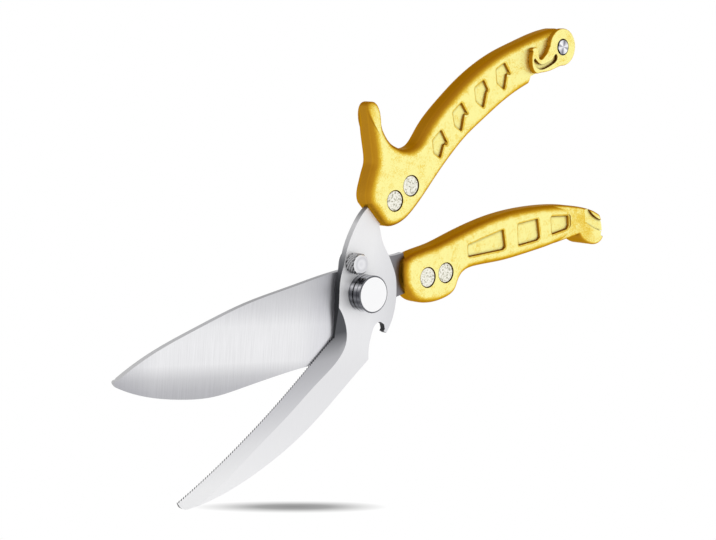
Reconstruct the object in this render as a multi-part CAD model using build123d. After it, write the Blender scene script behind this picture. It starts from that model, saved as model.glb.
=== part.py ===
from build123d import *
import os
from math import atan2, cos, degrees, hypot, radians, sin, tan

# Kitchen shears with a serrated front blade, a broad rear blade, two cast handles and a hook latch.
# Millimetres. Z runs along the pivot and the front faces +Z. The origin is on the pivot axis, on the
# plane of the back of the rear handle, which the shears lie on. The rear blade points to -X and the
# handle that carries it to +X. The front half is drawn closed and then opened about the pivot.

# Blades
blade_thickness = 2.5
blade_gap = 0.3
rear_blade_reach = 111.0
front_blade_reach = 107.2
grind_height = 2.2
tooth_pitch = 1.1
tooth_depth = 0.45
rear_tang_half_width = 4.9
front_tang_half_width = 4.5
open_angle = 28.0

# Handles
rear_handle_reach = 130.0
front_handle_reach = 135.5
cheek_thickness = 3.85
handle_round_share = 0.0250
slot_clearance = 0.1
recess_depth = 1.1
recess_corner = 0.7
recess_draft = 18.0
recess_rim_width = 0.6
recess_rim_drop = 0.25
lip_height = 14.1
lip_floor = 12.9
lip_round_share = 0.00923
end_notch_radius = 1.3

# Handle rivets, each a pin half pressed into a sleeve half
rivet_head_diameter = 7.4
rivet_head_thickness = 1.1
rivet_head_gap = 0.4
rivet_sleeve_diameter = 4.4
rivet_pin_diameter = 2.6
rivet_fit = 0.04
rivet_sunk = 0.25
rivet_edge = 0.15

# Pivot
pivot_diameter = 7.0
pivot_fit = 0.05
pivot_square = 4.8
pivot_thread_diameter = 4.6
pivot_neck_height = 2.4
housing_diameter = 14.0
housing_wall = 1.1
housing_edge_width = 0.55
housing_edge_drop = 0.25
collar_height = 2.2
collar_floor = 0.6
cap_height = 3.95
collar_gap = 0.15
cap_top = 1.5
washer_diameter = 13.0
back_washer_diameter = 12.0
back_washer_thickness = 0.45
nut_across_flats = 10.0
nut_thickness = 2.2

# Return spring, a coil round the pivot inside the collar and the cap
spring_wire = 0.8
spring_coil_diameter = 9.6
spring_turns = 2.75
spring_leg = 2.4
spring_end_gap = 0.03
lug_width = 1.0

# Pull knob and the stop pin that it lifts
knob_radius_from_pivot = 12.4
knob_angle = 74.1
knob_diameter = 8.0
knob_height = 4.9
knob_wall = 0.7
knob_seat_gap = 0.05
knob_top = 1.25
knob_edge = 0.25
knurl_depth = 0.28
knurl_count = 30
stop_pin_diameter = 2.4
stop_pin_depth = 1.5
stop_hole_floor = 1.0
stop_collar_diameter = 3.6
stop_collar_thickness = 0.7
stop_shank_diameter = 1.6
stop_shank_grip = 0.7
stop_sleeve_diameter = 4.8
stop_sleeve_height = 3.5
stop_sleeve_top = 0.8
stop_chamber_diameter = 3.9
stop_running_fit = 0.06
stop_spring_wire = 0.35
stop_spring_diameter = 2.8
stop_spring_turns = 3
stop_slot_clearance = 0.2

# Latch
latch_thickness = 2.0
latch_boss_radius = 7.4
latch_reach = 17.5
latch_gap = 0.1
latch_round = 0.4
latch_hub_diameter = 8.0
latch_hub_depth = 1.8
latch_running_fit = 0.05
latch_bolt_diameter = 3.0
latch_head_flats = 5.5
latch_head_thickness = 1.7
latch_head_seat = 0.6
latch_head_pocket = 6.7
latch_nut_flats = 5.5
latch_nut_thickness = 2.0
latch_nut_pocket = 7.2
latch_washer_diameter = 6.4
latch_washer_thickness = 0.5
latch_nut_inset = 0.1
latch_groove_depth = 1.2
overrun = 1.0
join_tolerance = 0.002

# Rear blade outline in shares of its reach, from the pivot round the point and back to the tang
rear_spine_shares = [(-0.053, 0.090), (-0.155, 0.093), (-0.258, 0.092), (-0.459, 0.089), (-0.656, 0.067),
                     (-0.848, 0.036), (-0.981, -0.004)]
rear_point_shares = [(-0.981, -0.004), (-0.999, -0.007), (-0.994, -0.023)]
rear_edge_shares = [(-0.994, -0.023), (-0.941, -0.060), (-0.859, -0.102), (-0.774, -0.134),
                    (-0.654, -0.165), (-0.526, -0.173), (-0.393, -0.177), (-0.264, -0.185)]
rear_heel_shares = [(-0.264, -0.185), (-0.144, -0.172), (-0.054, -0.138), (0.027, -0.099),
                    (0.099, -0.077), (0.168, -0.066), (0.226, -0.064)]
rear_shoulder_shares = [(0.226, -0.064), (0.226, 0.077)]
rear_crown_shares = [(0.226, 0.077), (0.180, 0.079), (0.145, 0.086), (0.100, 0.110), (0.050, 0.140),
                     (0.005, 0.150), (-0.022, 0.143), (-0.038, 0.128), (-0.046, 0.112), (-0.053, 0.090)]
rear_tang_root_share = (0.190, -0.005)
rear_grind_shares = [(-0.200, -0.150), (-0.264, -0.133), (-0.393, -0.123), (-0.526, -0.119),
                     (-0.654, -0.111), (-0.774, -0.084), (-0.859, -0.056), (-1.010, 0.020)]
rear_grind_edge_shares = [(-0.200, -0.182), (-0.264, -0.186), (-0.393, -0.178), (-0.526, -0.174),
                          (-0.654, -0.166), (-0.774, -0.135), (-0.859, -0.103), (-1.010, -0.018)]

# Front blade outline in shares of its reach, from the tang down the edge, round the point and back
front_flank_shares = [(0.205, 0.218), (0.157, 0.214), (0.112, 0.201), (0.071, 0.184),
                      (0.036, 0.164), (-0.001, 0.136), (-0.036, 0.113), (-0.060, 0.092),
                      (-0.086, 0.062), (-0.109, 0.036), (-0.149, -0.011), (-0.179, -0.042)]
front_edge_shares = [(-0.179, -0.042), (-0.349, -0.045), (-0.529, -0.045), (-0.695, -0.037),
                     (-0.852, -0.022), (-0.996, 0.000)]
front_point_shares = [(-0.996, 0.000), (-1.000, -0.018), (-0.975, -0.045)]
front_spine_shares = [(-0.975, -0.045), (-0.857, -0.105), (-0.723, -0.151), (-0.495, -0.196),
                      (-0.226, -0.204), (-0.125, -0.206)]
bone_notch_shares = [(-0.125, -0.206), (-0.094, -0.170), (-0.062, -0.147), (-0.030, -0.132),
                     (-0.011, -0.134), (0.000, -0.146)]
bone_tooth_shares = [(0.000, -0.146), (0.004, -0.160), (-0.003, -0.175), (-0.012, -0.178),
                     (-0.007, -0.191), (0.003, -0.188)]
front_heel_shares = [(0.003, -0.188), (0.025, -0.181), (0.051, -0.168), (0.077, -0.150),
                     (0.106, -0.123), (0.129, -0.095), (0.152, -0.057), (0.161, -0.027),
                     (0.170, 0.014), (0.174, 0.048), (0.181, 0.083), (0.190, 0.105),
                     (0.204, 0.134)]
front_shoulder_shares = [(0.204, 0.134), (0.205, 0.218)]
front_tang_root_share = (0.186, 0.176)
front_grind_shares = [(-0.111, 0.034), (-0.114, 0.002), (-0.124, -0.031), (-0.141, -0.063),
                      (-0.163, -0.086), (-0.213, -0.105), (-0.331, -0.104), (-0.506, -0.098),
                      (-0.672, -0.086), (-0.834, -0.075), (-1.010, -0.044)]
front_grind_edge_shares = [(-0.170, 0.045), (-0.171, 0.008), (-0.177, -0.014), (-0.189, -0.032),
                           (-0.213, -0.041), (-0.260, -0.044), (-0.355, -0.045), (-0.530, -0.045),
                           (-0.695, -0.037), (-0.852, -0.022), (-1.015, 0.006)]

# Rear handle outline in shares of its reach
rear_top_shares = [(0.174, 0.036), (0.186, 0.050), (0.205, 0.057), (0.231, 0.060), (0.308, 0.061),
                   (0.385, 0.069), (0.462, 0.077), (0.554, 0.082), (0.662, 0.078), (0.746, 0.068),
                   (0.847, 0.049), (0.933, 0.022), (0.994, -0.016)]
rear_end_shares = [(0.994, -0.016), (1.003, -0.054), (0.998, -0.093)]
pommel_shares = [(0.998, -0.093), (0.979, -0.104), (0.944, -0.101), (0.908, -0.061)]
rear_under_shares = [(0.908, -0.061), (0.800, -0.069), (0.692, -0.067), (0.569, -0.060), (0.462, -0.047),
                     (0.410, -0.050), (0.386, -0.065), (0.366, -0.092), (0.309, -0.109), (0.231, -0.098),
                     (0.193, -0.077), (0.179, -0.055)]
rear_mouth_shares = [(0.179, -0.055), (0.166, -0.025), (0.165, 0.008), (0.174, 0.036)]
rear_rivet_shares = [(0.251, -0.023), (0.325, -0.029)]
rear_recess_shares = [
    [(0.429, 0.030), (0.588, 0.038), (0.588, -0.019), (0.575, -0.025), (0.425, -0.008)],
    [(0.650, 0.039), (0.742, 0.033), (0.742, -0.028), (0.728, -0.035), (0.642, -0.030)],
    [(0.800, 0.026), (0.880, 0.008), (0.877, -0.024), (0.867, -0.034), (0.795, -0.034)]]
lip_start_share = 0.800
lip_ramp_shares = [(0.800, 0.582), (0.880, 0.740), (0.935, 0.930), (0.977, 1.000)]
end_notch_share = (0.996, -0.078)
latch_channel_inner_share = 0.79
latch_channel_outer_share = 1.05

# Front handle outline in shares of its reach, the handle in its closed place
front_top_shares = [(0.941, 0.147), (0.900, 0.162), (0.823, 0.189), (0.735, 0.210), (0.643, 0.220),
                    (0.573, 0.221), (0.511, 0.219), (0.475, 0.215), (0.443, 0.208), (0.416, 0.201),
                    (0.393, 0.199), (0.370, 0.206), (0.348, 0.222), (0.331, 0.247), (0.322, 0.272),
                    (0.321, 0.294), (0.324, 0.317), (0.336, 0.343), (0.351, 0.368)]
horn_tip_shares = [(0.351, 0.368), (0.345, 0.394), (0.317, 0.391)]
front_end_shares = [(0.317, 0.391), (0.300, 0.359), (0.287, 0.338), (0.273, 0.313), (0.261, 0.290),
                    (0.251, 0.273), (0.241, 0.261), (0.224, 0.250), (0.201, 0.235), (0.181, 0.221),
                    (0.165, 0.204), (0.158, 0.186)]
front_mouth_shares = [(0.158, 0.186), (0.164, 0.114)]
front_under_shares = [(0.164, 0.114), (0.176, 0.088), (0.203, 0.071), (0.236, 0.063), (0.276, 0.063),
                      (0.344, 0.071), (0.418, 0.082), (0.477, 0.088), (0.554, 0.091), (0.629, 0.085),
                      (0.725, 0.074), (0.796, 0.060), (0.847, 0.046), (0.883, 0.036)]
front_rivet_shares = [(0.228, 0.138), (0.299, 0.131)]
latch_step_shares = [(0.842, 0.020), (0.843, 0.058), (0.853, 0.069), (0.877, 0.060), (0.895, 0.048),
                     (0.922, 0.035), (0.943, 0.026), (0.963, 0.018), (0.955, 0.005)]
latch_bolt_share = (1.000, 0.060)
boss_start_angle = 228.0
boss_middle_angle = 325.0
boss_end_angle = 62.0
chevron_place_shares = [(0.421, 0.145), (0.530, 0.153), (0.637, 0.154), (0.735, 0.141)]
chevron_shares = [
    [(0.064, 0.034), (0.019, 0.031), (0.000, 0.000), (0.011, -0.030), (0.046, -0.008), (0.058, -0.025)],
    [(0.062, 0.035), (0.017, 0.035), (0.000, 0.000), (0.011, -0.033), (0.049, -0.002), (0.060, -0.031)],
    [(0.063, 0.028), (0.019, 0.033), (0.000, 0.000), (0.012, -0.038), (0.051, -0.008), (0.056, -0.042)],
    [(0.061, 0.026), (0.020, 0.033), (0.000, 0.000), (0.011, -0.038), (0.047, -0.008), (0.057, -0.043)]]

# Latch lever outline in shares of its reach, measured from its bolt
lever_under_shares = [(-0.251, -0.331), (-0.440, -0.246), (-0.606, -0.183), (-0.811, -0.074),
                      (-0.949, 0.017)]
lever_elbow_shares = [(-0.949, 0.017), (-1.040, 0.080), (-1.063, 0.180), (-0.994, 0.377),
                      (-0.829, 0.537)]
lever_tip_shares = [(-0.829, 0.537), (-0.820, 0.590), (-0.743, 0.577), (-0.674, 0.497)]
lever_inner_shares = [(-0.674, 0.497), (-0.690, 0.411), (-0.735, 0.337), (-0.757, 0.269),
                      (-0.720, 0.222), (-0.606, 0.208), (-0.491, 0.217), (-0.429, 0.240),
                      (-0.300, 0.290)]
groove_outer_shares = [(-0.937, 0.364), (-0.967, 0.302), (-0.959, 0.165), (-0.867, 0.039),
                       (-0.701, -0.044), (-0.495, -0.103), (-0.320, -0.105), (-0.269, -0.058)]
groove_inner_shares = [(-0.269, -0.058), (-0.277, 0.021), (-0.410, 0.011), (-0.574, 0.042),
                       (-0.722, 0.095), (-0.812, 0.168), (-0.853, 0.273), (-0.882, 0.377),
                       (-0.937, 0.364)]

# Levels along Z that the sizes above give
rear_handle_back = 0
rear_back = rear_handle_back + cheek_thickness
rear_front = rear_back + blade_thickness
rear_handle_front = rear_front + cheek_thickness
front_back = rear_front + blade_gap
front_front = front_back + blade_thickness
front_handle_back = front_back - cheek_thickness
front_handle_front = front_front + cheek_thickness
collar_top = front_front + collar_height
cap_bottom = collar_top + collar_gap
cap_front = cap_bottom + cap_height
latch_back = front_handle_front + latch_gap
latch_front = latch_back + latch_thickness
latch_head_floor = latch_back + latch_head_seat
latch_nut_back = front_handle_back + latch_nut_inset
latch_washer_back = latch_nut_back + latch_nut_thickness
latch_nut_floor = latch_washer_back + latch_washer_thickness
knob_bottom = front_front + knob_seat_gap
stop_floor = front_back + stop_hole_floor
stop_sleeve_front = front_front + stop_sleeve_height
stop_chamber_front = stop_sleeve_front - stop_sleeve_top
stop_collar_back = stop_floor + knob_seat_gap
stop_collar_front = stop_collar_back + stop_collar_thickness
knob_inside = knob_bottom + knob_height - knob_top


def place(share, reach):
    return (share[0] * reach, share[1] * reach)


def trace(shares, reach):
    points = [place(share, reach) for share in shares]
    if len(points) == 2:
        return Line(*points)
    return Spline(*points)


def slab(face, low, high):
    return Pos(0, 0, low) * extrude(face, high - low)


def disc(diameter, low, high, spot=(0, 0)):
    return Pos(spot[0], spot[1], low) * extrude(Circle(diameter / 2), high - low)


def hexagon(flats, low, high, spot=(0, 0)):
    corner_radius = flats / 2 / cos(radians(30))
    return Pos(spot[0], spot[1], low) * extrude(RegularPolygon(corner_radius, 6, rotation=30), high - low)


def opened(shape):
    return shape.rotate(Axis.Z, open_angle)


def edges_at(solid, level, reach):
    near = reach / 100000
    return ShapeList([edge for edge in solid.edges()
                      if abs(edge.bounding_box().min.Z - level) < near
                      and abs(edge.bounding_box().max.Z - level) < near])


def write(name, shape):
    shape.label = name
    export_step(shape, "parts/" + name + ".step")
    print(name, len(shape.solids()), shape.is_valid)


# The tang starts inside the blade and runs past both rivets to a round end
def tang(root, rivets, half_width):
    face = Sketch()
    for start, end in zip([root, rivets[0]], rivets):
        length = hypot(end[0] - start[0], end[1] - start[1])
        angle = degrees(atan2(end[1] - start[1], end[0] - start[0]))
        strip = Pos(length / 2, 0) * Rectangle(length, 2 * half_width) + Pos(length, 0) * Circle(half_width)
        face += Pos(*start) * Rot(0, 0, angle) * strip
    return face


def grind(inner_shares, outer_shares, reach, beyond, level, depth_level):
    faces = []
    for shares, height in ((inner_shares, level), (outer_shares, depth_level)):
        start = place(shares[0], reach)
        end = place(shares[-1], reach)
        border = Polyline(end, (end[0], beyond), (start[0], beyond), start)
        faces.append(Pos(0, 0, height) * make_face([trace(shares, reach), border]))
    return loft(faces, ruled=True)


rear_rivets = [place(share, rear_handle_reach) for share in rear_rivet_shares]
front_rivets = [place(share, front_handle_reach) for share in front_rivet_shares]
rear_tang_root = place(rear_tang_root_share, rear_blade_reach)
front_tang_root = place(front_tang_root_share, front_blade_reach)
latch_bolt_spot = place(latch_bolt_share, front_handle_reach)
knob_spot = (knob_radius_from_pivot * cos(radians(knob_angle)),
             knob_radius_from_pivot * sin(radians(knob_angle)))


def rear_blade():
    reach = rear_blade_reach
    curves = [trace(shares, reach) for shares in
              (rear_spine_shares, rear_point_shares, rear_edge_shares, rear_heel_shares,
               rear_shoulder_shares, rear_crown_shares)]
    face = make_face(curves)
    face = face + tang(rear_tang_root, rear_rivets, rear_tang_half_width)
    blade = slab(face, rear_back, rear_front)
    blade -= grind(rear_grind_shares, rear_grind_edge_shares, reach, -reach,
                   rear_back, rear_back + grind_height)
    blade -= slab(Rectangle(pivot_square + 2 * pivot_fit, pivot_square + 2 * pivot_fit),
                  rear_back - overrun, rear_front + overrun)
    for spot in rear_rivets:
        blade -= disc(rivet_sleeve_diameter + 2 * rivet_fit, rear_back - overrun, rear_front + overrun, spot)
    travel = CenterArc((0, 0), knob_radius_from_pivot, knob_angle, open_angle)
    slot = SlotArc(travel, stop_pin_diameter + 2 * stop_slot_clearance)
    blade -= slab(slot, rear_back - overrun, rear_front + overrun)
    return blade


def serrated(edge):
    count = round(edge.length / tooth_pitch)
    points = []
    for tooth in range(count):
        points.append(edge @ (tooth / count))
        middle = (tooth + 1 / 2) / count
        inward = (edge % middle).rotate(Axis.Z, 90)
        points.append(edge @ middle + inward * tooth_depth)
    points.append(edge @ 1)
    return Polyline(*points)


def front_blade():
    reach = front_blade_reach
    curves = [trace(shares, reach) for shares in
              (front_flank_shares, front_point_shares, front_spine_shares, bone_notch_shares,
               front_heel_shares, front_shoulder_shares)]
    tooth = Polyline(*[place(share, reach) for share in bone_tooth_shares])
    face = make_face(curves + [serrated(trace(front_edge_shares, reach)), tooth])
    face = face + tang(front_tang_root, front_rivets, front_tang_half_width)
    blade = slab(face, front_back, front_front)
    blade -= grind(front_grind_shares, front_grind_edge_shares, reach, reach,
                   front_front, front_front - grind_height)
    blade -= disc(pivot_diameter + 2 * pivot_fit, front_back - overrun, front_front + overrun)
    for spot in front_rivets:
        blade -= disc(rivet_sleeve_diameter + 2 * rivet_fit, front_back - overrun, front_front + overrun, spot)
    blade -= disc(stop_pin_diameter + 2 * stop_running_fit, front_back - overrun, front_front, knob_spot)
    blade -= disc(stop_sleeve_diameter + 2 * rivet_fit, stop_floor, front_front + overrun, knob_spot)
    return blade


def rivet_seats(spots, back, front):
    seats = []
    for spot in spots:
        seats.append(disc(rivet_sleeve_diameter + 2 * rivet_fit, back, front, spot))
        for low, high in ((back - overrun, back + rivet_head_thickness),
                          (front - rivet_head_thickness, front + overrun)):
            seats.append(disc(rivet_head_diameter + 2 * rivet_head_gap, low, high, spot))
    return seats


# The walls of a recess lean, as a casting's do, so its floor is smaller than its mouth
def recess(points, front):
    face = make_face([Polyline(*points, close=True)])
    inset = recess_depth * tan(radians(recess_draft))
    mouth = offset(offset(face, -recess_corner), recess_corner)
    floor = offset(offset(face, -recess_corner - inset), recess_corner)
    rim = offset(mouth, recess_rim_width)
    levels = [Pos(0, 0, front - recess_depth) * floor, Pos(0, 0, front - recess_rim_drop) * mouth,
              Pos(0, 0, front) * rim]
    return loft(levels[:2], ruled=True) + loft(levels[1:], ruled=True) + slab(rim, front, front + overrun)


def lip(outline):
    reach = rear_handle_reach
    start = lip_start_share * reach
    half = Pos(start + reach / 2, 0) * Rectangle(reach, reach)
    block = slab(outline & half, rear_back, lip_height)
    ramp_points = [(x * reach, z * lip_height) for x, z in lip_ramp_shares]
    ramp = Spline(*ramp_points, tangents=[(1, 0.25), (1, 0)])
    end = ramp_points[-1]
    over = Polyline(end, (end[0] + reach, end[1]), (end[0] + reach, end[1] + lip_height),
                    (start - overrun, end[1] + lip_height), (start - overrun, ramp_points[0][1]),
                    ramp_points[0])
    block -= extrude(Plane.XZ * make_face([ramp, over]), reach, both=True)
    tops = [face for face in block.faces() if face.normal_at().Z > 0.2]
    counted = {}
    for face in tops:
        for edge in face.edges():
            if edge.center().X > start + overrun / 2:
                key = tuple(round(value / overrun, 3) for value in edge.center())
                counted.setdefault(key, []).append(edge)
    outer = [found[0] for found in counted.values() if len(found) == 1]
    return fillet(outer, lip_round_share * reach)


# The shoulders of the rear blade enter the mouth of its handle
def shoulder_room():
    low, high = [place(share, rear_blade_reach) for share in rear_shoulder_shares]
    bottom = low[1] - slot_clearance
    top = high[1] + slot_clearance
    return make_face([Polyline((0, bottom), (low[0] + slot_clearance, bottom), (high[0] + slot_clearance, top),
                               (0, top), close=True)])


def rear_handle():
    reach = rear_handle_reach
    outline = make_face([trace(shares, reach) for shares in
                         (rear_top_shares, rear_end_shares, pommel_shares, rear_under_shares,
                          rear_mouth_shares)])
    body = slab(outline, rear_handle_back, rear_handle_front)
    rims = edges_at(body, rear_handle_back, reach) + edges_at(body, rear_handle_front, reach)
    body = fillet(rims, handle_round_share * reach)
    body = body.fuse(lip(outline), tol=join_tolerance)
    body -= disc(2 * end_notch_radius, rear_handle_back - overrun, lip_height + overrun,
                 place(end_notch_share, reach))
    ring = Circle(latch_channel_outer_share * latch_reach) - Circle(latch_channel_inner_share * latch_reach)
    body -= Pos(*latch_bolt_spot) * slab(ring, lip_floor, lip_height + overrun)
    strip = tang(rear_tang_root, rear_rivets, rear_tang_half_width + slot_clearance)
    body -= slab(strip + shoulder_room(), rear_back, rear_front)
    for seat in rivet_seats(rear_rivets, rear_handle_back, rear_handle_front):
        body -= seat
    for shares in rear_recess_shares:
        body -= recess([place(share, reach) for share in shares], rear_handle_front)
    return body


def front_handle():
    reach = front_handle_reach
    bolt = latch_bolt_spot
    radius = latch_boss_radius
    start, middle, end = [(bolt[0] + radius * cos(radians(angle)), bolt[1] + radius * sin(radians(angle)))
                          for angle in (boss_start_angle, boss_middle_angle, boss_end_angle)]
    top = Spline(end, *[place(share, reach) for share in front_top_shares])
    side = trace(front_end_shares, reach)
    tip = Spline(*[place(share, reach) for share in horn_tip_shares], tangents=[top % 1, side % 0])
    mouth = Polyline(*[place(share, reach) for share in front_mouth_shares])
    under = Spline(*[place(share, reach) for share in front_under_shares], start)
    boss = ThreePointArc(start, middle, end)
    body = slab(make_face([under, boss, top, tip, side, mouth]), front_handle_back, front_handle_front)
    rims = edges_at(body, front_handle_back, reach) + edges_at(body, front_handle_front, reach)
    body = fillet(rims, handle_round_share * reach)
    step = Polyline(*[place(share, reach) for share in latch_step_shares], close=True)
    body -= slab(make_face([step]), front_handle_back - overrun, front_handle_front + overrun)
    strip = tang(front_tang_root, front_rivets, front_tang_half_width + slot_clearance)
    body -= slab(strip, front_back, front_front)
    for seat in rivet_seats(front_rivets, front_handle_back, front_handle_front):
        body -= seat
    for spot, shares in zip(chevron_place_shares, chevron_shares):
        points = [place((spot[0] + share[0], spot[1] + share[1]), reach) for share in shares]
        body -= recess(points, front_handle_front)
    body -= disc(latch_hub_diameter + 2 * latch_running_fit, latch_back - latch_hub_depth - latch_gap,
                 front_handle_front + overrun, bolt)
    body -= disc(latch_bolt_diameter + 2 * rivet_fit, front_handle_back, front_handle_front, bolt)
    body -= disc(latch_nut_pocket, front_handle_back - overrun, latch_nut_floor, bolt)
    return body


def rivet_pins(spots, back, front):
    pins = []
    for spot in spots:
        head = disc(rivet_head_diameter, front - rivet_head_thickness, front - rivet_sunk, spot)
        head = fillet(head.edges().sort_by(Axis.Z)[-1], rivet_edge)
        pins.append(head + disc(rivet_pin_diameter, back + rivet_head_thickness,
                                front - rivet_head_thickness, spot))
    return Compound(children=pins)


def rivet_sleeves(spots, back, front):
    sleeves = []
    for spot in spots:
        head = disc(rivet_head_diameter, back + rivet_sunk, back + rivet_head_thickness, spot)
        head = fillet(head.edges().sort_by(Axis.Z)[0], rivet_edge)
        tube = disc(rivet_sleeve_diameter, back + rivet_head_thickness,
                    front - rivet_head_thickness - rivet_fit, spot)
        bore = disc(rivet_pin_diameter + 2 * rivet_fit, back + rivet_head_thickness - rivet_fit,
                    front, spot)
        sleeves.append(head + tube - bore)
    return Compound(children=sleeves)


def pivot_bolt():
    body = disc(pivot_diameter, rear_front, cap_bottom)
    body += disc(pivot_thread_diameter, cap_bottom, cap_bottom + pivot_neck_height)
    body += slab(Rectangle(pivot_square, pivot_square), rear_back, rear_front)
    body += disc(pivot_thread_diameter, rear_handle_back, rear_back)
    return body


def ring(outer, inner, low, high):
    return slab(Circle(outer / 2) - Circle(inner / 2), low, high)


# A lug stands in front of the free end of a spring leg
def lug(turn, low, high):
    face = Pos(spring_coil_diameter / 2, spring_leg + lug_width / 2 + spring_end_gap)
    block = slab(face * Rectangle(lug_width, lug_width), low, high)
    block &= disc(housing_diameter - housing_wall, low, high)
    return block.rotate(Axis.Z, turn)


def pivot_collar():
    body = ring(housing_diameter, pivot_diameter + 2 * pivot_fit, front_front, collar_top)
    inside = housing_diameter - 2 * housing_wall
    body -= disc(inside, front_front + collar_floor, collar_top + overrun)
    floor = front_front + collar_floor
    return body + lug(0, floor, floor + spring_wire)


def pivot_cap():
    roof = cap_front - cap_top
    body = disc(housing_diameter, cap_bottom, cap_front)
    top = body.faces().sort_by(Axis.Z)[-1]
    body = chamfer(top.edges(), housing_edge_width, housing_edge_drop, reference=top)
    body -= ring(housing_diameter - 2 * housing_wall, pivot_diameter, cap_bottom - overrun, roof)
    body -= disc(pivot_thread_diameter + 2 * rivet_fit, cap_bottom - overrun,
                 cap_bottom + pivot_neck_height + rivet_fit)
    stop = lug(0, roof - spring_wire, roof).mirror(Plane.XZ)
    return body + stop.rotate(Axis.Z, -spring_turns * 360)


def return_spring():
    low = front_front + collar_floor + spring_wire / 2 + spring_end_gap
    high = cap_front - cap_top - spring_wire / 2 - spring_end_gap
    rise = high - low
    coil = Pos(0, 0, low) * Helix(rise / spring_turns, rise, spring_coil_diameter / 2, lefthand=True)
    return spring_from(coil, spring_wire, spring_leg)


def spring_from(coil, wire, leg):
    start = coil @ 0
    end = coil @ 1
    first = Line(start - Vector((coil % 0).X, (coil % 0).Y, 0).normalized() * leg, start)
    last = Line(end, end + Vector((coil % 1).X, (coil % 1).Y, 0).normalized() * leg)
    path = Wire([first, coil, last])
    section = Plane(origin=first @ 0, z_dir=first % 0) * Circle(wire / 2)
    return sweep(section, path=path, transition=Transition.TRANSFORMED)


def pivot_nut():
    high = rear_back - back_washer_thickness
    body = hexagon(nut_across_flats, high - nut_thickness, high)
    return body - disc(pivot_thread_diameter + 2 * rivet_fit, high - nut_thickness - overrun, high + overrun)


def stop_sleeve():
    body = disc(stop_sleeve_diameter, stop_floor, stop_sleeve_front, knob_spot)
    body -= disc(stop_chamber_diameter, stop_floor - overrun, stop_chamber_front, knob_spot)
    return body - disc(stop_shank_diameter + 2 * stop_running_fit, stop_floor,
                       stop_sleeve_front + overrun, knob_spot)


def stop_pin():
    body = disc(stop_pin_diameter, rear_front - stop_pin_depth, stop_collar_back, knob_spot)
    body += disc(stop_collar_diameter, stop_collar_back, stop_collar_front, knob_spot)
    return body + disc(stop_shank_diameter, stop_collar_front, knob_inside + stop_shank_grip, knob_spot)


def stop_spring():
    low = stop_collar_front + stop_spring_wire / 2 + spring_end_gap
    rise = stop_chamber_front - stop_spring_wire / 2 - spring_end_gap - low
    coil = Helix(rise / stop_spring_turns, rise, stop_spring_diameter / 2)
    coil = Pos(knob_spot[0], knob_spot[1], low) * coil
    section = Plane(origin=coil @ 0, z_dir=coil % 0) * Circle(stop_spring_wire / 2)
    return sweep(section, path=coil)


def stop_knob():
    outer = knob_diameter / 2
    points = []
    for tooth in range(2 * knurl_count):
        radius = outer - knurl_depth * (tooth % 2)
        angle = radians(180 * tooth / knurl_count)
        points.append((radius * cos(angle), radius * sin(angle)))
    body = slab(make_face([Polyline(*points, close=True)]), knob_bottom, knob_bottom + knob_height)
    dome = disc(knob_diameter, knob_bottom, knob_bottom + knob_height)
    body &= chamfer(dome.edges().sort_by(Axis.Z)[-1], knob_edge + knurl_depth)
    body -= disc(knob_diameter - 2 * knurl_depth - 2 * knob_wall, knob_bottom - overrun, knob_inside)
    body -= disc(stop_shank_diameter + rivet_fit, knob_bottom, knob_inside + stop_shank_grip + rivet_fit)
    return Pos(*knob_spot) * body


def latch_lever():
    reach = latch_reach
    curves = [trace(shares, reach) for shares in
              (lever_under_shares, lever_elbow_shares, lever_tip_shares, lever_inner_shares)]
    root = Polyline(place(lever_inner_shares[-1], reach), (0, 0), place(lever_under_shares[0], reach))
    arm = slab(make_face(curves + [root]), latch_back, latch_front)
    rims = edges_at(arm, latch_front, reach).filter_by(GeomType.LINE, reverse=True)
    boss = disc(2 * latch_boss_radius, latch_back, latch_front)
    plate = fillet(rims, latch_round) + fillet(boss.edges().sort_by(Axis.Z)[-1], latch_round)
    groove = make_face([trace(groove_outer_shares, reach), trace(groove_inner_shares, reach)])
    plate -= slab(groove, latch_front - latch_groove_depth, latch_front + overrun)
    plate += disc(latch_hub_diameter, latch_back - latch_hub_depth, latch_back)
    plate -= disc(latch_bolt_diameter + 2 * latch_running_fit, latch_back - latch_hub_depth - overrun,
                  latch_front)
    plate -= disc(latch_head_pocket, latch_head_floor, latch_front + overrun)
    return Pos(*latch_bolt_spot) * plate


def latch_bolt():
    head = hexagon(latch_head_flats, latch_head_floor, latch_head_floor + latch_head_thickness,
                   latch_bolt_spot)
    cone = disc(latch_head_flats / cos(radians(30)), latch_head_floor,
                latch_head_floor + latch_head_thickness, latch_bolt_spot)
    head &= chamfer(cone.edges().sort_by(Axis.Z)[-1], latch_running_fit * 8)
    return head + disc(latch_bolt_diameter, latch_nut_back, latch_head_floor, latch_bolt_spot)


def latch_nut():
    body = hexagon(latch_nut_flats, latch_nut_back, latch_washer_back, latch_bolt_spot)
    return body - disc(latch_bolt_diameter + 2 * rivet_fit, latch_nut_back - overrun,
                       latch_washer_back + overrun, latch_bolt_spot)


def latch_washer():
    washer = ring(latch_washer_diameter, latch_bolt_diameter + 2 * rivet_fit,
                  latch_washer_back, latch_nut_floor)
    return Pos(*latch_bolt_spot) * washer


os.makedirs("parts", exist_ok=True)

write("rear_blade", rear_blade())
write("rear_handle", rear_handle())
write("rear_rivet_pins", rivet_pins(rear_rivets, rear_handle_back, rear_handle_front))
write("rear_rivet_sleeves", rivet_sleeves(rear_rivets, rear_handle_back, rear_handle_front))
write("pivot_bolt", pivot_bolt())
write("pivot_cap", pivot_cap())
write("blade_washer", ring(washer_diameter, pivot_diameter + 2 * pivot_fit, rear_front, front_back))
write("back_washer", ring(back_washer_diameter, pivot_thread_diameter + 2 * rivet_fit,
                          rear_back - back_washer_thickness, rear_back))
write("pivot_nut", pivot_nut())

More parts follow.
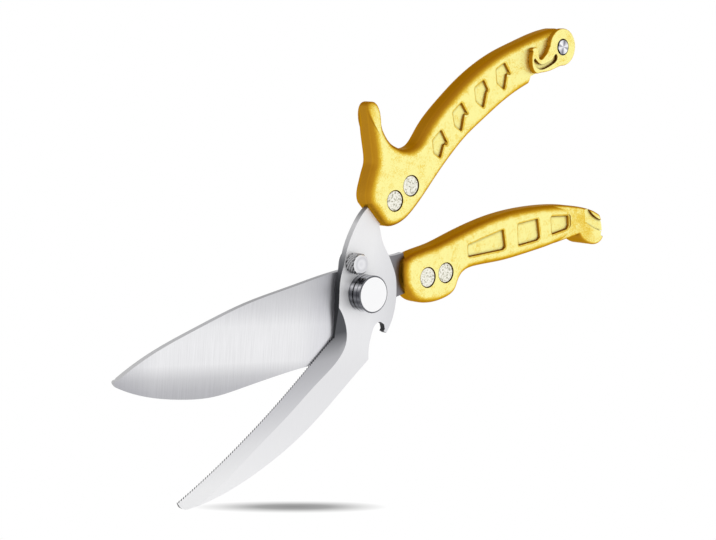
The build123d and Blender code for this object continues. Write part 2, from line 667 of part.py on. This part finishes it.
write("front_blade", opened(front_blade()))
write("front_handle", opened(front_handle()))
write("front_rivet_pins", opened(rivet_pins(front_rivets, front_handle_back, front_handle_front)))
write("front_rivet_sleeves", opened(rivet_sleeves(front_rivets, front_handle_back, front_handle_front)))
write("pivot_collar", opened(pivot_collar()))
write("return_spring", opened(return_spring()))
write("stop_sleeve", opened(stop_sleeve()))
write("stop_spring", opened(stop_spring()))
write("stop_pin", opened(stop_pin()))
write("stop_knob", opened(stop_knob()))
write("latch_lever", opened(latch_lever()))
write("latch_bolt", opened(latch_bolt()))
write("latch_washer", opened(latch_washer()))
write("latch_nut", opened(latch_nut()))
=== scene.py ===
# %% [markdown]
# # Kitchen shears with gold handles
#
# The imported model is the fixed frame. Each of its parts already has its true shape and place, so
# this lesson gives them finishes, models the one detail that is finer than its solid, and sets up
# the camera, the light and the shadow under the blade's point.

from math import atan2, cos, pi, radians, sin

import bmesh
import bpy
from mathutils import Matrix, Vector


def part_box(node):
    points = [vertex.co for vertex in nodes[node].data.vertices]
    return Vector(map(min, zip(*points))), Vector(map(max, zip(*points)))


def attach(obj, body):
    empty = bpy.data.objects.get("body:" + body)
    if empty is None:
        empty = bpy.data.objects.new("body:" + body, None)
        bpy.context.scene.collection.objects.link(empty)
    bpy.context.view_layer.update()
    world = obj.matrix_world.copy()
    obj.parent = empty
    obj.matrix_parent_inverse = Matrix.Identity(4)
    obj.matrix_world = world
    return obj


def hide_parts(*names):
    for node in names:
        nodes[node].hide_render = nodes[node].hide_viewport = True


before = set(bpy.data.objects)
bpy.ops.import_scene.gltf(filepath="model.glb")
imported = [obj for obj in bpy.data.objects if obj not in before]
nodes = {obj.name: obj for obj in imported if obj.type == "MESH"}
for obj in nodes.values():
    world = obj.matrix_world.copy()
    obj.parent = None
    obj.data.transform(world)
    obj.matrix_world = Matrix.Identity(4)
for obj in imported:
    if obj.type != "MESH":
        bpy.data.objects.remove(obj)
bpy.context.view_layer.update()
millimetre = 0.001

# %% [markdown]
# ## Small helpers
#
# Colours are written as the hex values a painter's tool would show, and the shader wants linear
# light, so one function turns one into the other. The next one adds a shader node, with its
# settings, and with its inputs either linked or set. The short ones after it are built on it.

# %% Colour
def colour(hex_value):
    channels = [int(hex_value[start:start + 2], 16) / 255 for start in (1, 3, 5)]
    linear = [c / 12.92 if c <= 0.04045 else ((c + 0.055) / 1.055) ** 2.4 for c in channels]
    return (*linear, 1.0)


print("white is", colour("#FFFFFF"))

# %% Shader nodes
def add(tree, kind, settings=None, inputs=None):
    node = tree.nodes.new("ShaderNode" + kind)
    for name, value in (settings or {}).items():
        setattr(node, name, value)
    for name, value in (inputs or {}).items():
        socket = node.inputs[name]
        if isinstance(value, bpy.types.NodeSocket):
            tree.links.new(value, socket)
        else:
            socket.default_value = value
    return node


def maths(tree, operation, *values):
    return add(tree, "Math", {"operation": operation}, dict(enumerate(values))).outputs[0]


def mixed(tree, kind, factor, first, second):
    node = add(tree, "Mix", {"data_type": "RGBA", "blend_type": kind}, {0: factor, 6: first, 7: second})
    return node.outputs[2]


def spread(tree, value, low, high, to_low=0.0, to_high=1.0):
    limits = {"From Min": low, "From Max": high, "To Min": to_low, "To Max": to_high}
    return add(tree, "MapRange", None, {"Value": value, **limits}).outputs["Result"]


print("node helpers:", [helper.__name__ for helper in (add, maths, mixed, spread)])

# %% [markdown]
# A ramp turns a share from 0 to 1 into a colour, with as many stops as it is given. A tone is a ramp
# laid along one axis of the object, and its stops are places in millimetres.

# %% Ramps, tones and patterns
def ramp(tree, factor, *stops):
    node = add(tree, "ValToRGB", None, {"Fac": factor})
    elements = node.color_ramp.elements
    while len(elements) < len(stops):
        elements.new(0.5)
    for element, (position, hex_value) in zip(elements, stops):
        element.position = position
        element.color = colour(hex_value)
    return node.outputs["Color"]


def tone(tree, place, axis, stops):
    low, high = stops[0][0], stops[-1][0]
    split = add(tree, "SeparateXYZ", None, {0: place})
    share = spread(tree, split.outputs[axis], low * millimetre, high * millimetre)
    shares = [((position - low) / (high - low), hex_value) for position, hex_value in stops]
    return ramp(tree, share, *shares)


def noise(tree, place, size, detail, roughness=0.5):
    settings = {"Scale": 1 / (size * millimetre), "Detail": detail, "Roughness": roughness}
    return add(tree, "TexNoise", None, {"Vector": place, **settings}).outputs["Fac"]


def upright_share(tree, coordinates):
    split = add(tree, "SeparateXYZ", None, {0: coordinates.outputs["Normal"]})
    return maths(tree, "ABSOLUTE", split.outputs["Z"])


print("pattern helpers:", [helper.__name__ for helper in (ramp, tone, noise, upright_share)])

# %% Materials and where they go
def start_material(name):
    material = bpy.data.materials.new(name)
    material.use_nodes = True
    material.node_tree.nodes.clear()
    return material, material.node_tree


def finish_material(tree, inputs):
    shader = add(tree, "BsdfPrincipled", None, inputs)
    add(tree, "OutputMaterial", None, {"Surface": shader.outputs["BSDF"]})


def give(node_name, material):
    for part_slot in nodes[node_name].material_slots:
        part_slot.material = material
    print(node_name, "is now", material.name)


def middle_of(node_name):
    low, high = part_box(node_name)
    return (Vector(low) + Vector(high)) / 2


print("the pivot cap's middle is", [round(value, 4) for value in middle_of("pivot_cap")])

# %% [markdown]
# ## Gold paint on the cast handles
#
# The handles and the latch are castings sprayed with a metallic gold paint. The broad faces are a
# light yellow and the upright walls a deeper gold brown, which is painted shade: the base colour
# follows the direction that the surface faces. The walls that face the handles' upper side, +Y, are
# painted browner still, more painted shade, and a soft second tone adds that. Corners are darkened
# with painted shade where an occlusion node finds them. The flakes are about a tenth of a
# millimetre, too fine to show, so they are drawn at 0.4 mm.

# %% Sizes and colours of the paint
flake_size, cloud_size = 0.4, 4
flake_relief, cast_relief = 0.05, 0.3
mottle_share = 0.07
corner_reach = 1.3
# Painted shade: tones run from the darker walls to the light faces by the way the surface faces.
paint_shade_stops = [(0.00, "#B07E22"), (0.12, "#BC8820"), (0.30, "#B4801C"), (0.66, "#BC8820"),
               (0.84, "#D8AC2E"), (0.93, "#EFD158"), (1.00, "#FBF4A2")]
# The first two colours are painted shade, for corners and for walls that face +Y.
corner_painted_shade, upper_wall_painted_shade, rim_gold = "#5F3A06", "#D8C8B4", "#F0D8A0"
print("paint has", len(paint_shade_stops), "tones from wall to face")

# %% Gold metallic paint
def gold_paint():
    material, tree = start_material("gold_metallic_paint")
    coordinates = add(tree, "TexCoord")
    place = coordinates.outputs["Object"]
    flakes = noise(tree, place, flake_size, 2.0)
    cloud = noise(tree, place, cloud_size, 5.0, 0.7)
    mottle = spread(tree, maths(tree, "ADD", flakes, cloud), 0.7, 1.3, -mottle_share, mottle_share)
    grain = maths(tree, "ADD", upright_share(tree, coordinates), mottle)
    # Painted shade: the base colour darkens the walls by the direction they face.
    base = ramp(tree, grain, *paint_shade_stops)
    # Painted shade: corners that the occlusion node finds are darkened.
    corner = add(tree, "AmbientOcclusion", {"samples": 8, "only_local": True},
                 {"Distance": corner_reach * millimetre})
    open_share = spread(tree, corner.outputs["AO"], 0.45, 0.95)
    corner_shaded = mixed(tree, "MIX", open_share, colour(corner_painted_shade), base)
    # Painted shade: walls that face +Y are browned.
    facing_up = add(tree, "SeparateXYZ", None, {0: coordinates.outputs["Normal"]}).outputs["Y"]
    upper_wall_shaded = mixed(tree, "MULTIPLY", spread(tree, facing_up, 0.25, 0.9), corner_shaded, colour(upper_wall_painted_shade))
    flake_height = add(tree, "Bump", None, {"Height": flakes, "Strength": 0.25,
                                            "Distance": flake_relief * millimetre})
    cast_height = add(tree, "Bump", None, {"Height": cloud, "Strength": 0.25,
                                           "Distance": cast_relief * millimetre,
                                           "Normal": flake_height.outputs["Normal"]})
    finish_material(tree, {"Base Color": upper_wall_shaded, "Metallic": 1.0, "Specular Tint": colour(rim_gold),
                           "Roughness": spread(tree, cloud, 0.3, 0.7, 0.38, 0.48),
                           "Normal": cast_height.outputs["Normal"]})
    return material


paint = gold_paint()
for name in ("rear_handle", "front_handle", "latch_lever"):
    give(name, paint)

# %% [markdown]
# ## Steel of the blades
#
# The front blade is stamped and satin finished, then ground. Its sheared sides are painted darker
# than its faces, painted shade with a band of painted highlight, and its bevel is painted darker
# towards the pivot. The rear blade is polished on a belt that leaves fine lines across it. It is
# painted brightest along the middle of the blade, a painted reflection, and the tang between the
# blades is painted dull, painted shade. One function makes both. It lays painted light and shade
# along and across the grain, gives the ground bevel and the sides painted shading of their own, and
# draws the lines with a stretched noise. The real lines are finer than a picture point, so they are
# drawn about a third of a millimetre wide.

# %% Tones of the satin blade
# Painted light and shade of the satin blade: tones across and along it, a bevel painted darker towards the
# pivot, and dark sides with a band of painted highlight.
satin_painted_light = {
    "across": [(-90, "#FFFFFF"), (4, "#FFFFFF"), (10, "#F6F6F7"), (17, "#ECECED"), (40, "#E6E6E7")],
    "along": [(-75, "#F2F2F3"), (-50, "#EAEAEC"), (-30, "#E8E8EA"), (-12, "#EFEFF1"), (20, "#F2F2F3"),
              (40, "#EDEDEF")],
    "bevel": [(-60, "#EEEEEF"), (-49, "#EFEFF0"), (-40, "#E2E2E4"), (-35, "#D6D6D9"), (-28, "#C6C6CA"),
              (-20, "#B2B2B6"), (-12, "#525357"), (0, "#4A4B4F")],
    "sides": [(-60, "#222226"), (-4, "#2D2E31"), (4, "#2D2E31"), (10, "#4B4C50"), (14, "#6D6E71"),
              (19, "#B5B5B7"), (26, "#CACACB"), (29, "#8E8E90"), (33, "#5F5F62")],
}
print("satin tones:", {name: len(stops) for name, stops in satin_painted_light.items()})

# %% Tones of the belt polished blade
# Painted light and shade of the belt polished blade: a painted bright band along its middle, painted shade
# on the tang, and painted tones for its bevel and sides.
belt_painted_light = {
    "across": [(-120, "#D8D8DB"), (-104, "#E9E9EB"), (-90, "#FFFFFF"), (-40, "#FFFFFF"), (-27, "#FFFFFF"),
               (-17, "#F2F2F4"), (4, "#D8D8DB"), (14, "#ADACAF"), (30, "#848080")],
    "along": [(-42, "#B0B0B4"), (-34, "#BEBEC2"), (-30, "#CDCDD0"), (-25, "#ECECEE"), (-18, "#EEEEF0"),
              (-12, "#ECECEE"), (-6, "#DADADD"), (0, "#CECED1"), (8, "#C8C8CB")],
    "bevel": [(-40, "#F4F4F5"), (40, "#DADADD")],
    "sides": [(-30, "#949498"), (2, "#C0C0C1"), (9, "#AEAEB1"), (11, "#818184"), (20, "#515154")],
}
print("belt tones:", {name: len(stops) for name, stops in belt_painted_light.items()})

# %% Blade steel
grain_turn = 15.3
line_relief = 0.05
gloss_change = 0.04


def blade_steel(name, tones, line_size, contrast, metal, roughness):
    material, tree = start_material(name)
    coordinates = add(tree, "TexCoord")
    place = coordinates.outputs["Object"]
    turned = add(tree, "Mapping", None, {"Vector": place, "Rotation": (0, 0, radians(grain_turn))})
    grain_place = turned.outputs["Vector"]
    width, length = [1 / (size * millimetre) for size in line_size]
    stretched = add(tree, "Mapping", None, {"Vector": grain_place, "Scale": (width, length, width)})
    lines = add(tree, "TexNoise", None, {"Vector": stretched.outputs["Vector"], "Scale": 1.0,
                                         "Detail": 4.0, "Roughness": 0.6}).outputs["Fac"]
    upright = upright_share(tree, coordinates)
    # Painted light and shade laid along and across the grain, on the bevel and on the sides.
    face = mixed(tree, "MULTIPLY", 1.0, tone(tree, grain_place, "Y", tones["along"]),
                 tone(tree, grain_place, "X", tones["across"]))
    face_share = spread(tree, upright, 0.96, 0.985)
    bevelled = mixed(tree, "MIX", face_share, tone(tree, place, "Y", tones["bevel"]), face)
    flat_share = spread(tree, upright, 0.3, 0.8)
    plain = mixed(tree, "MIX", flat_share, tone(tree, place, "Y", tones["sides"]), bevelled)
    tint = mixed(tree, "MULTIPLY", 1.0, plain, spread(tree, lines, 0.3, 0.7, 1 - contrast, 1.0))
    rough = spread(tree, lines, 0.3, 0.7, roughness - gloss_change, roughness + gloss_change)
    height = add(tree, "Bump", None, {"Height": lines, "Strength": 0.12,
                                      "Distance": line_relief * millimetre})
    finish_material(tree, {"Base Color": tint, "Metallic": metal, "Roughness": rough,
                           "Normal": height.outputs["Normal"]})
    return material


give("front_blade", blade_steel("satin_stamped_steel", satin_painted_light, (0.3, 4), 0.03, 0.6, 0.5))
give("rear_blade", blade_steel("belt_polished_steel", belt_painted_light, (0.35, 14), 0.12, 1.0, 0.36))

# %% [markdown]
# ## Rivets
#
# The faces of the rivets are finely mottled. Noise gives both the warm grey specks and a slight
# relief.

# %% Mottled rivet steel
speck_size = 0.7
speck_relief = 0.08
speck_stops = [(0.36, "#9C9A88"), (0.45, "#E0DECE"), (0.60, "#F6F4EA")]


def mottled_steel():
    material, tree = start_material("mottled_rivet_steel")
    place = add(tree, "TexCoord").outputs["Object"]
    grain = noise(tree, place, speck_size, 3.0)
    tint = ramp(tree, grain, *speck_stops)
    height = add(tree, "Bump", None, {"Height": grain, "Strength": 0.4,
                                      "Distance": speck_relief * millimetre})
    finish_material(tree, {"Base Color": tint, "Metallic": 1.0, "Roughness": 0.36,
                           "Normal": height.outputs["Normal"]})
    return material


rivet_face = mottled_steel()
for name in ("front_rivet_pins", "rear_rivet_pins", "front_rivet_sleeves", "rear_rivet_sleeves"):
    give(name, rivet_face)

# %% [markdown]
# ## Turned steel
#
# The pivot and the bolts are turned on a lathe. Their faces are bright, their sides are painted
# darker, painted shade, and a dark line of painted shade runs round each face at its broken edge.
# The polished pivot's side has streaks along its axis and bright and grey bands up its height, all
# painted reflections, and a dark band of painted shade at the joint between its ring and its cap.
# The bolt head of the latch is faced on the lathe, and two pairs of sectors round its middle are
# painted bright and dark, painted glints. Shares run once round the axis, and heights are in
# millimetres.

# %% Tones of the turned pieces
pale_face = [(0.0, "#F4F4F5"), (1.0, "#F4F4F5")]
# Painted shade: the sides of the turned pieces are darker than their faces.
side_painted_shade = [(0.0, "#A1A1A5"), (1.0, "#A1A1A5")]
# Painted reflections: bright and dark streaks round the pivot's side.
painted_reflection_streaks = [(0.0, "#7E7F84"), (0.03, "#4E4F54"), (0.06, "#77787D"), (0.085, "#505156"),
                 (0.11, "#9A9BA0"), (0.145, "#FAFAFC"), (0.20, "#B4B5BA"), (0.30, "#55565B"),
                 (0.50, "#B4B5BA"), (0.70, "#55565B"), (0.80, "#D2D3D8"), (0.86, "#4E4F54"),
                 (0.90, "#E4E4E8"), (0.94, "#6A6B70"), (0.97, "#4E4F54"), (1.0, "#7E7F84")]
# Painted reflections up the pivot's height, with a dark band of painted shade at the joint of ring and cap.
pivot_painted_bands = [(9.1, "#8C8C90"), (10.2, "#FFFFFF"), (11.0, "#FFFFFF"), (11.3, "#3A3A3E"),
                (11.7, "#3A3A3E"), (12.0, "#FFFFFF"), (13.2, "#FFFFFF"), (13.6, "#8C8C90"),
                (14.0, "#FFFFFF"), (15.5, "#FFFFFF")]
# Painted glints: bright and dark sectors on the latch bolt's face.
painted_glint_sectors = [(0.0, "#F6F6F8"), (0.22, "#B9B9C1"), (0.38, "#74747E"), (0.52, "#E0E0E6"),
               (0.72, "#FFFFFF"), (0.86, "#8C8C98"), (1.0, "#F6F6F8")]
# Painted shade along each face's broken edge.
edge_painted_shade = "#66676C"
print("streaks round the pivot:", len(painted_reflection_streaks))

# %% Turned steel
def turned_steel(name, middle, face_stops, side_stops, turns, roughness, height_stops=None):
    material, tree = start_material(name)
    coordinates = add(tree, "TexCoord")
    place = coordinates.outputs["Object"]
    centred = add(tree, "Mapping", None, {"Vector": place, "Location": (-middle[0], -middle[1], 0)})
    around = add(tree, "TexGradient", {"gradient_type": "RADIAL"}, {0: centred.outputs["Vector"]})
    angle = around.outputs["Fac"]
    sector = maths(tree, "FRACT", maths(tree, "MULTIPLY", angle, turns))
    upright = upright_share(tree, coordinates)
    side = ramp(tree, angle, *side_stops)
    if height_stops:
        side = mixed(tree, "MULTIPLY", 1.0, side, tone(tree, place, "Z", height_stops))
    # Painted shade at the broken edge between side and face.
    edge = mixed(tree, "MIX", spread(tree, upright, 0.5, 0.8), side, colour(edge_painted_shade))
    face_share = spread(tree, upright, 0.95, 0.98)
    tint = mixed(tree, "MIX", face_share, edge, ramp(tree, sector, *face_stops))
    finish_material(tree, {"Base Color": tint, "Metallic": 1.0, "Roughness": roughness})
    return material


polished = turned_steel("polished_turned_steel", middle_of("pivot_cap"), pale_face, painted_reflection_streaks,
                        1, 0.16, pivot_painted_bands)
sectored = turned_steel("faced_bolt_steel", middle_of("latch_bolt"), painted_glint_sectors, side_painted_shade, 2, 0.25)
plain_turned = turned_steel("plain_turned_steel", middle_of("pivot_bolt"), pale_face, side_painted_shade, 1, 0.28)
for name in ("pivot_cap", "pivot_collar"):
    give(name, polished)
give("latch_bolt", sectored)
for name in ("pivot_bolt", "pivot_nut", "blade_washer", "back_washer", "return_spring", "stop_sleeve",
             "stop_spring", "stop_pin", "stop_knob", "latch_washer", "latch_nut"):
    give(name, plain_turned)

# %% [markdown]
# ## Knurled knob
#
# The pull knob has a crossed knurl, finer than the straight grooves of its solid, and a dished
# face. It starts as a closed drum whose side is cut into rows and columns. Every second corner of
# that net is pressed in, which leaves rows of small diamonds. Insets of the top face break its edge
# and sink the dish, and insets of the bottom face leave the room for the pin and its spring. The
# real knurl has about twice as many diamonds, too fine to show at this size. Its steel is painted
# dark in the bottoms of the knurl, painted shade, and bright on its points, painted highlights, by
# the distance from the axis. The dished face gets rings of painted shading by the same distance.

# %% Knurled steel
# Painted shade in the knurl's bottoms and painted highlights on its points, by distance from the axis.
knurl_painted_shade = [(0.0, "#000000"), (0.4, "#050506"), (0.75, "#3E3F43"), (1.0, "#F4F4F6")]
# Painted shading in rings across the dished face.
dish_painted_shading = [(0.0, "#DADADE"), (0.4, "#E6E6E9"), (0.7, "#CECED2"), (1.0, "#ECECEE")]


def knurled_steel(name, middle, inner, outer):
    material, tree = start_material(name)
    coordinates = add(tree, "TexCoord")
    flat = add(tree, "Mapping", None, {"Vector": coordinates.outputs["Object"], "Scale": (1, 1, 0),
                                       "Location": (-middle[0], -middle[1], 0)})
    length = add(tree, "VectorMath", {"operation": "LENGTH"}, {0: flat.outputs["Vector"]})
    from_axis = length.outputs["Value"]
    side = ramp(tree, spread(tree, from_axis, inner, outer), *knurl_painted_shade)
    face = ramp(tree, spread(tree, from_axis, 0.0, inner), *dish_painted_shading)
    tint = mixed(tree, "MIX", spread(tree, upright_share(tree, coordinates), 0.4, 0.7), side, face)
    finish_material(tree, {"Base Color": tint, "Metallic": 1.0, "Roughness": 0.34})
    return material


print("knurl tones:", len(knurl_painted_shade), "dish tones:", len(dish_painted_shading))

# %% Form of the knob
columns, rows = 28, 7
knurl, broken_edge, rim, dish = [size * millimetre for size in (0.4, 0.45, 0.25, 0.5)]
dish_share = 0.6
room_radius, room_height, wall_slope = [size * millimetre for size in (3.02, 3.65, 0.02)]


def knob_form(radius, drum):
    form = bmesh.new()
    bmesh.ops.create_cone(form, cap_ends=True, segments=columns, radius1=radius, radius2=radius, depth=drum)
    top = max(form.faces, key=lambda face: face.calc_center_median().z)
    bottom = min(form.faces, key=lambda face: face.calc_center_median().z)
    uprights = [edge for edge in form.edges if abs(edge.verts[0].co.z - edge.verts[1].co.z) > drum / 2]
    bmesh.ops.subdivide_edges(form, edges=uprights, cuts=rows - 1)
    for corner in form.verts:
        column = round(atan2(corner.co.y, corner.co.x) * columns / (2 * pi))
        row = round((corner.co.z / drum + 0.5) * rows)
        if row in (0, rows) or (column + row) % 2:
            corner.co.xy *= 1 - knurl / radius
    for thickness, depth in ((broken_edge, broken_edge), (rim, 0), (radius * dish_share, -dish)):
        bmesh.ops.inset_individual(form, faces=[top], thickness=thickness, depth=depth)
    for thickness, depth in ((radius - knurl - room_radius, 0), (wall_slope, -room_height)):
        bmesh.ops.inset_individual(form, faces=[bottom], thickness=thickness, depth=depth)
    return form


print("knurl net:", columns, "by", rows)

# %% Knurled knob
def knurled_knob():
    low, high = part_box("stop_knob")
    radius = (high[0] - low[0]) / 2
    drum = high[2] - low[2] - broken_edge
    form = knob_form(radius, drum)
    middle = middle_of("stop_knob")
    bmesh.ops.translate(form, verts=form.verts, vec=(middle[0], middle[1], low[2] + drum / 2))
    bmesh.ops.recalc_face_normals(form, faces=form.faces)
    mesh = bpy.data.meshes.new("knurled_knob")
    form.to_mesh(mesh)
    form.free()
    mesh.materials.append(knurled_steel("knurled_knob_steel", middle, radius - knurl, radius))
    knob = bpy.data.objects.new("knurled_knob", mesh)
    bpy.context.scene.collection.objects.link(knob)
    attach(knob, "pull_knob")
    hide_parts("stop_knob")
    print(knob.name, "has", len(mesh.polygons), "faces")


knurled_knob()

# %% [markdown]
# ## Camera
#
# The picture is taken with a long lens, and the shears are turned 13 degrees in their own plane
# and tilted 42 degrees away. The middle of the pivot's face is at a known spot of the picture and
# 666 mm from the lens, and that fixes the camera. A ray is a direction in the camera's own frame,
# in which the lens looks along -Z.

# %% Where the camera stands
picture_width, picture_height = 716, 540
focal_pixels = 1800
tilt, lean, turn = radians(42), radians(-9), radians(13)
pivot_pixel = (373.9, 294.6)
pivot_face_height = 15.5 * millimetre
distance = 666 * millimetre


def ray_through(pixel):
    return Vector(((pixel[0] - picture_width / 2) / focal_pixels,
                   (picture_height / 2 - pixel[1]) / focal_pixels, -1))


facing = Vector((sin(tilt) * cos(lean), sin(tilt) * sin(lean), cos(tilt)))
view_turn = Vector((0, 0, 1)).rotation_difference(facing).to_matrix() @ Matrix.Rotation(turn, 3, "Z")
pivot_face = view_turn @ Vector((0, 0, pivot_face_height))
camera_place = view_turn.transposed() @ (pivot_face - ray_through(pivot_pixel) * distance)
print("camera at", [round(value, 4) for value in camera_place])

# %% Camera
sensor_width = 36
lens = bpy.data.cameras.new("camera")
lens.sensor_width = sensor_width
lens.lens = sensor_width * focal_pixels / picture_width
camera = bpy.data.objects.new("camera", lens)
bpy.context.scene.collection.objects.link(camera)
camera.matrix_world = Matrix.Translation(camera_place) @ view_turn.transposed().to_4x4()
bpy.context.scene.camera = camera
bpy.context.scene.view_settings.view_transform = "Standard"
print("lens of", round(lens.lens, 1), "mm")

# %% [markdown]
# ## Background and light
#
# The picture has a pure white ground. The world is white to the camera, and also to reflections and
# through glass, so that the steel shows that ground. The soft light that it sheds on dull surfaces
# is a little lower. Most of the light comes from the world. One large weak soft box where the faces
# mirror it adds a little more, and its brightness is given as the brightness of its cloth.

# %% World
def white_world(room):
    world = bpy.data.worlds.new("studio")
    bpy.context.scene.world = world
    world.use_nodes = True
    tree = world.node_tree
    tree.nodes.clear()
    around = add(tree, "Background", None, {"Color": (1, 1, 1, 1), "Strength": room})
    white = add(tree, "Background", None, {"Color": (1, 1, 1, 1), "Strength": 1.0})
    path = add(tree, "LightPath").outputs
    seen = maths(tree, "MAXIMUM", path["Is Camera Ray"], path["Is Glossy Ray"])
    seen = maths(tree, "MAXIMUM", seen, path["Is Transmission Ray"])
    chosen = add(tree, "MixShader", None, {"Fac": seen, 1: around.outputs[0], 2: white.outputs[0]})
    add(tree, "OutputWorld", None, {"Surface": chosen.outputs[0]})
    print("world light on dull surfaces:", room)


white_world(0.9)

# %% Soft box
box_distance = 0.9
box_size = (2.4, 2.4)
box_brightness = 0.04


def soft_box(name, direction):
    lamp = bpy.data.lights.new(name, "AREA")
    lamp.shape = "RECTANGLE"
    lamp.size, lamp.size_y = box_size
    lamp.energy = box_brightness * pi * box_size[0] * box_size[1]
    holder = bpy.data.objects.new(name, lamp)
    bpy.context.scene.collection.objects.link(holder)
    place = Vector(direction).normalized() * box_distance
    aim = (-place).to_track_quat("-Z", "Y").to_matrix().to_4x4()
    holder.matrix_world = Matrix.Translation(place) @ aim


towards_camera = view_turn[2]
soft_box("face_box", (-towards_camera.x, -towards_camera.y, towards_camera.z))
print("lamps:", [light.name for light in bpy.data.lights])

# %% [markdown]
# ## Shadow under the point
#
# The picture shows no floor, only a thin soft ellipse of shadow under the point of the front
# blade. It lies on a small clear patch at floor level, half a millimetre under the handles, where
# the camera's rays through the four corners of the ellipse's frame meet the floor. The patch only
# dims what the camera sees through it, most in its middle and not at all at its rim.

# %% Shadow shade
shade_stops = [(0.0, "#939393"), (0.35, "#A8A8A8"), (0.7, "#E4E4E4"), (0.95, "#FFFFFF")]


def soft_shadow():
    material, tree = start_material("soft_shadow")
    place = add(tree, "TexCoord").outputs["UV"]
    from_middle = add(tree, "VectorMath", {"operation": "LENGTH"}, {0: place}).outputs["Value"]
    shade = ramp(tree, from_middle, *shade_stops)
    seen = add(tree, "LightPath").outputs["Is Camera Ray"]
    clear = add(tree, "BsdfTransparent", None, {"Color": mixed(tree, "MIX", seen, (1, 1, 1, 1), shade)})
    add(tree, "OutputMaterial", None, {"Surface": clear.outputs[0]})
    return material


print("shadow shades:", len(shade_stops))

# %% Shadow patch
shadow_left, shadow_right, shadow_top, shadow_bottom = 186, 392, 500.5, 513.5
floor_height = -0.5 * millimetre


def on_floor(pixel):
    towards = view_turn.transposed() @ ray_through(pixel)
    return camera_place + towards * (floor_height - camera_place.z) / towards.z


def shadow_patch():
    pixels = ((shadow_left, shadow_bottom), (shadow_right, shadow_bottom),
              (shadow_right, shadow_top), (shadow_left, shadow_top))
    form = bmesh.new()
    face_uv = form.loops.layers.uv.new("patch")
    face = form.faces.new([form.verts.new(on_floor(pixel)) for pixel in pixels])
    for loop, place in zip(face.loops, ((-1, -1), (1, -1), (1, 1), (-1, 1))):
        loop[face_uv].uv = place
    mesh = bpy.data.meshes.new("shadow_patch")
    form.to_mesh(mesh)
    form.free()
    patch = bpy.data.objects.new("shadow_patch", mesh)
    bpy.context.scene.collection.objects.link(patch)
    mesh.materials.append(soft_shadow())
    print("shadow patch at", [round(value, 3) for value in mesh.vertices[0].co])


shadow_patch()
